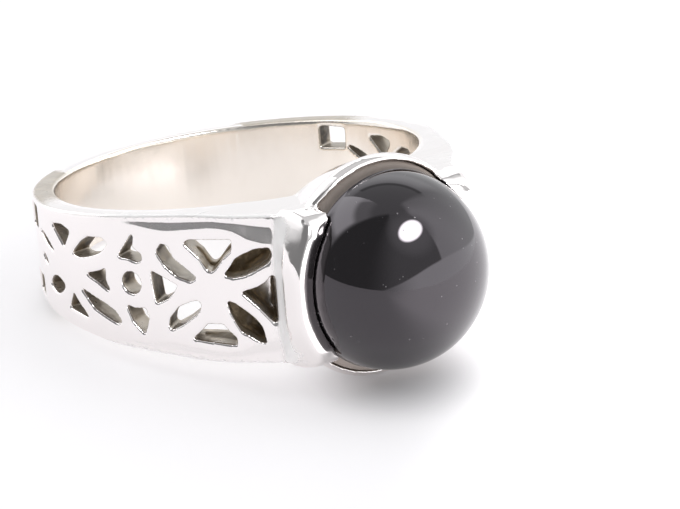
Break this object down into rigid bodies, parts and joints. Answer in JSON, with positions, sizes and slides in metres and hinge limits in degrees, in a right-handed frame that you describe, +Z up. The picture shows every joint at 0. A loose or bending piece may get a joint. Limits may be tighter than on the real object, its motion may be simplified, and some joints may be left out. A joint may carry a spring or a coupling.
{
  "type": "finger ring",
  "caption": "Cast finger ring lying on its side, with a round high-domed cabochon held between raised collars, pierced floral shoulders and a plain solid back.",
  "frame": {"origin": "bottom centre of the ring as it lies on a table", "axes": "+Z up, the stone faces -Y, the finger hole's axis leans back from +Z towards the stone's far end"},
  "size_m": [0.0194, 0.0258, 0.0101],
  "materials": {
    "silver": "polished sterling silver",
    "onyx": "polished black onyx, matt on its side"
  },
  "bodies": {
    "root": {"silver_ring": "silver", "onyx_stone": "onyx"}
  },
  "joints": []
}
